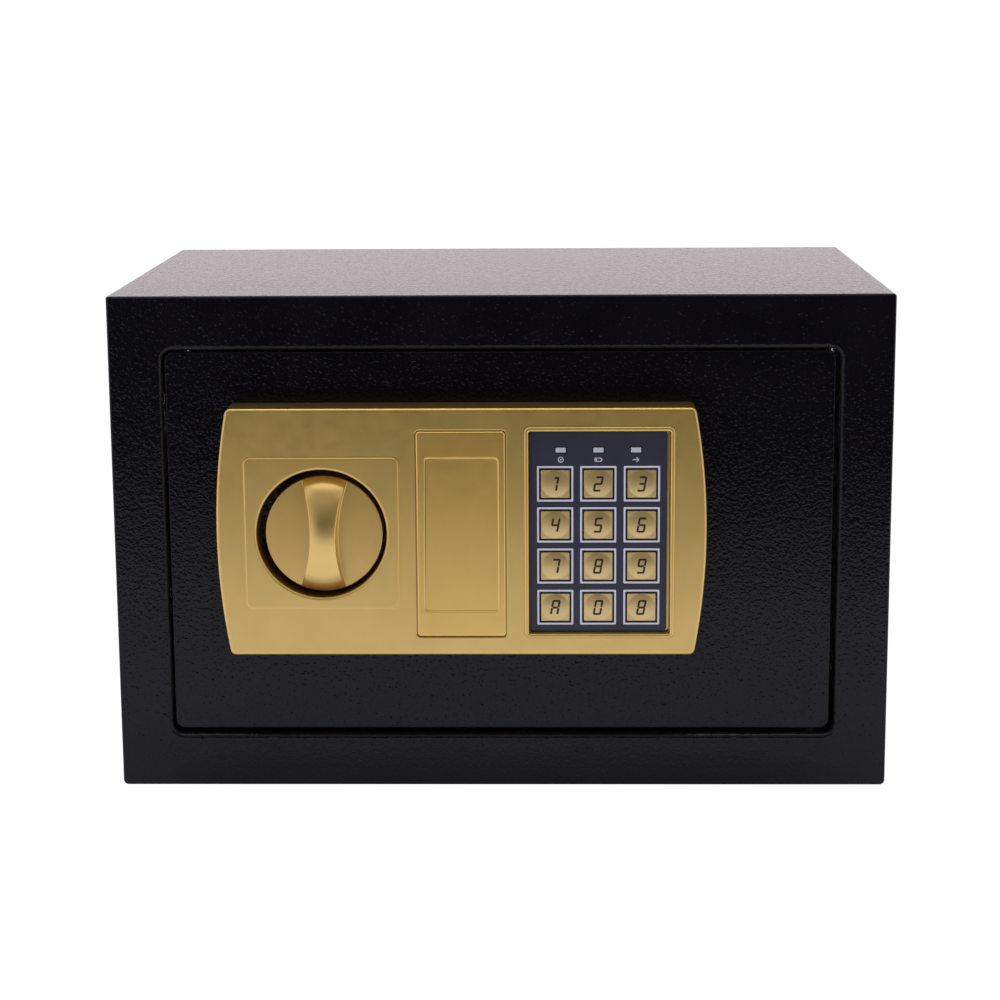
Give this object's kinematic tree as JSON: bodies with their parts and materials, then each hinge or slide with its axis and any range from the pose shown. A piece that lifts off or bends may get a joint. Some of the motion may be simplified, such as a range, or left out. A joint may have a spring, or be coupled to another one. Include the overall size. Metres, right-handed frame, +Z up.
{
  "type": "electronic safe",
  "caption": "Small steel safe with a keypad, turning knob, covered override lock and a right-hinged door that carries sliding bolts and a battery box.",
  "frame": {"origin": "centre of the bottom of the bounding box, on the surface that the safe stands on", "axes": "+Z up, -Y out of the door's front face, +X to the hinge side"},
  "size_m": [0.31, 0.2196, 0.2],
  "materials": {
    "black_coat": "textured powder coat, semi-gloss",
    "gold_paint": "satin metallic gold paint on moulded plastic",
    "key_cap": "satin gold plastic with printed digits",
    "label_ink": "dark blue-grey printed overlay, satin",
    "led_lens": "frosted light window",
    "zinc_plate": "bright zinc plated steel sheet",
    "bolt_steel": "turned bright steel",
    "zinc_cast": "die-cast zinc, satin",
    "brass_plug": "machined brass",
    "nylon": "natural nylon",
    "solenoid": "plated iron frame round a wound coil",
    "circuit_board": "green solder mask",
    "silicone": "grey silicone rubber",
    "ribbon": "grey ribbon cable",
    "black_plastic": "fine-grained black plastic",
    "cell_sleeve": "printed metal sleeve with bright ends",
    "red_plastic": "glossy red plastic",
    "felt": "needled grey felt"
  },
  "bodies": {
    "cabinet": {"body_wrap": "black_coat", "back_panel": "black_coat", "front_frame": "black_coat", "bolt_keeper": "zinc_plate", "hinge_bracket_upper": "zinc_plate", "hinge_bracket_lower": "zinc_plate", "floor_mat": "felt"},
    "door": {"door_plate": "black_coat", "door_pan": "black_coat", "inner_cover": "black_coat", "cover_screw_1": "zinc_plate", "cover_screw_2": "zinc_plate", "cover_screw_3": "zinc_plate", "cover_screw_4": "zinc_plate", "hinge_leaf_upper": "zinc_plate", "hinge_leaf_lower": "zinc_plate", "control_panel": "gold_paint", "keypad_label": "label_ink", "keypad_mat": "silicone", "keypad_board": "circuit_board", "led_left": "led_lens", "led_middle": "led_lens", "led_right": "led_lens", "keypad_cable": "ribbon", "lock_housing": "zinc_cast", "lock_nut": "zinc_cast", "shaft_bush": "nylon", "guide_post_lower": "zinc_plate", "guide_post_upper": "zinc_plate", "solenoid_body": "solenoid", "main_board": "circuit_board", "battery_box": "black_plastic", "battery_cell_1": "cell_sleeve", "battery_cell_2": "cell_sleeve", "battery_cell_3": "cell_sleeve", "battery_cell_4": "cell_sleeve"},
    "knob": {"knob": "gold_paint", "knob_shaft": "zinc_cast"},
    "bolts": {"bolt_carrier": "zinc_plate", "bolt_lower": "bolt_steel", "bolt_upper": "bolt_steel"},
    "blocker": {"solenoid_plunger": "bolt_steel", "solenoid_spring": "bolt_steel"},
    "override": {"lock_plug": "brass_plug", "lock_cam": "zinc_plate"},
    "keyhole_cover": {"keyhole_cover": "gold_paint"},
    "battery_cover": {"battery_cover": "black_plastic"},
    "reset_button": {"reset_button": "red_plastic"},
    "key_1": {"key_1": "key_cap"},
    "key_2": {"key_2": "key_cap"},
    "key_3": {"key_3": "key_cap"},
    "key_4": {"key_4": "key_cap"},
    "key_5": {"key_5": "key_cap"},
    "key_6": {"key_6": "key_cap"},
    "key_7": {"key_7": "key_cap"},
    "key_8": {"key_8": "key_cap"},
    "key_9": {"key_9": "key_cap"},
    "key_a": {"key_a": "key_cap"},
    "key_0": {"key_0": "key_cap"},
    "key_b": {"key_b": "key_cap"}
  },
  "joints": [
    {"name": "door_swing", "type": "hinge", "parent": "cabinet", "child": "door", "pos_m": [0.1255, -0.08225, 0.1], "axis": [0, 0, 1], "range_deg": [0, 90]},
    {"name": "knob_turn", "type": "hinge", "parent": "door", "child": "knob", "pos_m": [-0.0697, -0.09025, 0.10705], "axis": [0, -1, 0], "range_deg": [0, 75]},
    {"name": "bolt_throw", "type": "slide", "parent": "door", "child": "bolts", "axis": [-1, 0, 0], "range_m": [0, 0.018]},
    {"name": "blocker_throw", "type": "slide", "parent": "door", "child": "blocker", "axis": [0, 0, 1], "range_m": [0, 0.006], "deforming": ["solenoid_spring"]},
    {"name": "override_turn", "type": "hinge", "parent": "door", "child": "override", "pos_m": [-0.0159, -0.08025, 0.1079], "axis": [0, -1, 0], "range_deg": [0, 90]},
    {"name": "keyhole_cover_pull", "type": "slide", "parent": "door", "child": "keyhole_cover", "axis": [0, -1, 0], "range_m": [0, 0.04]},
    {"name": "battery_cover_slide", "type": "slide", "parent": "door", "child": "battery_cover", "axis": [-1, 0, 0], "range_m": [0, 0.066]},
    {"name": "reset_press", "type": "slide", "parent": "door", "child": "reset_button", "axis": [0, -1, 0], "range_m": [0, 0.002], "stiffness_N_per_m": 300},
    {"name": "key_1_press", "type": "slide", "parent": "door", "child": "key_1", "axis": [0, 1, 0], "range_m": [0, 0.001], "stiffness_N_per_m": 300},
    {"name": "key_2_press", "type": "slide", "parent": "door", "child": "key_2", "axis": [0, 1, 0], "range_m": [0, 0.001], "stiffness_N_per_m": 300},
    {"name": "key_3_press", "type": "slide", "parent": "door", "child": "key_3", "axis": [0, 1, 0], "range_m": [0, 0.001], "stiffness_N_per_m": 300},
    {"name": "key_4_press", "type": "slide", "parent": "door", "child": "key_4", "axis": [0, 1, 0], "range_m": [0, 0.001], "stiffness_N_per_m": 300},
    {"name": "key_5_press", "type": "slide", "parent": "door", "child": "key_5", "axis": [0, 1, 0], "range_m": [0, 0.001], "stiffness_N_per_m": 300},
    {"name": "key_6_press", "type": "slide", "parent": "door", "child": "key_6", "axis": [0, 1, 0], "range_m": [0, 0.001], "stiffness_N_per_m": 300},
    {"name": "key_7_press", "type": "slide", "parent": "door", "child": "key_7", "axis": [0, 1, 0], "range_m": [0, 0.001], "stiffness_N_per_m": 300},
    {"name": "key_8_press", "type": "slide", "parent": "door", "child": "key_8", "axis": [0, 1, 0], "range_m": [0, 0.001], "stiffness_N_per_m": 300},
    {"name": "key_9_press", "type": "slide", "parent": "door", "child": "key_9", "axis": [0, 1, 0], "range_m": [0, 0.001], "stiffness_N_per_m": 300},
    {"name": "key_a_press", "type": "slide", "parent": "door", "child": "key_a", "axis": [0, 1, 0], "range_m": [0, 0.001], "stiffness_N_per_m": 300},
    {"name": "key_0_press", "type": "slide", "parent": "door", "child": "key_0", "axis": [0, 1, 0], "range_m": [0, 0.001], "stiffness_N_per_m": 300},
    {"name": "key_b_press", "type": "slide", "parent": "door", "child": "key_b", "axis": [0, 1, 0], "range_m": [0, 0.001], "stiffness_N_per_m": 300}
  ],
  "couplings": [
    {"joint": "knob_turn", "follows": "bolt_throw", "rad_per_m": 72.72}
  ]
}
